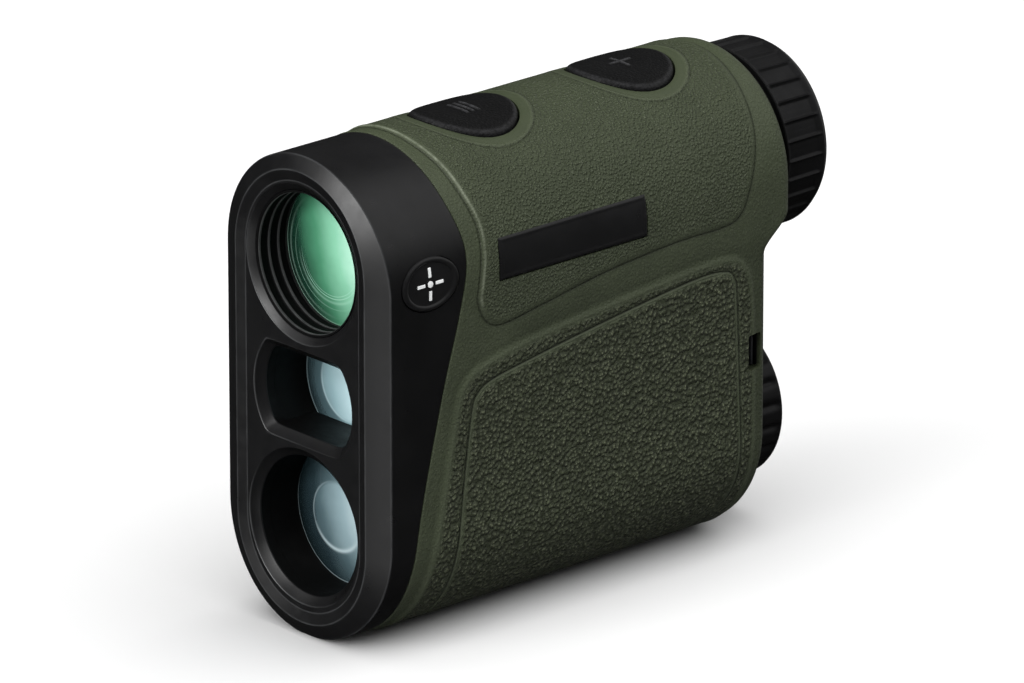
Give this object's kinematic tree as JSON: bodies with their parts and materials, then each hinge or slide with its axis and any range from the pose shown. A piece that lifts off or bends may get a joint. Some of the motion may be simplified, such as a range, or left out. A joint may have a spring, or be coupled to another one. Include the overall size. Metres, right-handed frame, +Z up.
{
  "type": "laser rangefinder",
  "caption": "Upright handheld laser rangefinder: rubber-armoured body, bezel with objective, emitter and receiver openings, press buttons on top, ribbed eyepiece and screw-on battery cap.",
  "frame": {"origin": "centre of the footprint, on the surface that the upright body stands on", "axes": "+X to the side with the lanyard slot, +Y from the front openings to the eyepiece, +Z up"},
  "size_m": [0.0374, 0.094, 0.0759],
  "materials": {
    "bezel_plastic": "satin moulded",
    "armour_rubber": "matt, pebbled",
    "grip_rubber": "matt, ribbed",
    "key_rubber": "matt, finely textured",
    "chassis_plastic": "moulded",
    "inner_black": "matt black",
    "plate_black": "satin",
    "coated_glass": "green anti-reflection coating",
    "clear_glass": "clear",
    "blue_glass": "pale blue coating",
    "filter_glass": "dark red",
    "steel": "bright",
    "contact_brass": "bright",
    "diode_can": "gold plated",
    "holder_alloy": "cast",
    "circuit_board": "solder mask",
    "chip_plastic": "moulded",
    "flex_film": "amber film",
    "wire_red": "insulation",
    "battery_sleeve": "printed film, plain",
    "seal_rubber": "smooth"
  },
  "bodies": {
    "housing": {"front_bezel": "bezel_plastic", "rubber_armour": "armour_rubber", "chassis_left": "chassis_plastic", "chassis_right": "chassis_plastic", "chassis_screws": "steel", "rear_frame": "chassis_plastic", "rear_frame_screws": "steel", "right_nameplate": "plate_black", "left_nameplate": "plate_black", "right_badge": "plate_black", "left_badge": "plate_black", "lanyard_pin": "steel", "objective_cell": "inner_black", "objective_retaining_ring": "inner_black", "objective_seal_ring": "seal_rubber", "objective_front_element": "coated_glass", "objective_rear_element": "clear_glass", "emitter_cell": "inner_black", "emitter_lens": "blue_glass", "laser_holder": "holder_alloy", "laser_diode": "diode_can", "receiver_cell": "inner_black", "receiver_lens": "blue_glass", "receiver_cone": "inner_black", "receiver_filter": "filter_glass", "photodiode": "steel", "receiver_board": "circuit_board", "prism_holder": "chassis_plastic", "prism_cover": "steel", "prism_holder_screws": "steel", "half_penta_prism": "clear_glass", "roof_prism": "clear_glass", "display_frame": "chassis_plastic", "display_module": "clear_glass", "display_flex": "flex_film", "main_board": "circuit_board", "board_components": "chip_plastic", "button_carrier": "chassis_plastic", "switch_board": "circuit_board", "front_switch": "steel", "rear_switch": "steel", "switch_flex": "flex_film", "battery_tube": "chassis_plastic", "front_contact": "contact_brass", "battery_leads": "wire_red"},
    "focus_grip": {"focus_ring": "chassis_plastic", "eyecup_grip": "grip_rubber"},
    "ocular": {"ocular_cell": "inner_black", "field_lens": "clear_glass", "ocular_spacer": "inner_black", "eye_lens_front": "clear_glass", "eye_lens_rear": "clear_glass", "ocular_retaining_ring": "holder_alloy"},
    "battery_pack": {"battery": "battery_sleeve", "cap_spring": "steel", "cap_contact": "contact_brass"},
    "cap": {"battery_cap": "grip_rubber", "cap_seal_ring": "seal_rubber"},
    "front_key": {"front_button": "key_rubber"},
    "rear_key": {"rear_button": "key_rubber"}
  },
  "joints": [
    {"name": "focus_turn", "type": "hinge", "parent": "housing", "child": "focus_grip", "pos_m": [0, 0.042, 0.0584], "axis": [0, 1, 0], "range_deg": [-120, 120]},
    {"name": "ocular_slide", "type": "slide", "parent": "housing", "child": "ocular", "axis": [0, 1, 0], "range_m": [-0.0012, 0.0012]},
    {"name": "battery_slide", "type": "slide", "parent": "housing", "child": "battery_pack", "axis": [0, 1, 0], "range_m": [0, 0.00376]},
    {"name": "cap_turn", "type": "hinge", "parent": "battery_pack", "child": "cap", "pos_m": [0, 0.035, 0.0171], "axis": [0, 1, 0], "range_deg": [0, 1080]},
    {"name": "front_button_press", "type": "slide", "parent": "housing", "child": "front_key", "axis": [0, 0, -1], "range_m": [0, 0.0006], "stiffness_N_per_m": 1500},
    {"name": "rear_button_press", "type": "slide", "parent": "housing", "child": "rear_key", "axis": [0, 0, -1], "range_m": [0, 0.0006], "stiffness_N_per_m": 1500}
  ],
  "couplings": [
    {"joint": "ocular_slide", "follows": "focus_turn", "m_per_rad": 0.000572},
    {"joint": "battery_slide", "follows": "cap_turn", "m_per_rad": 0.0001989}
  ]
}
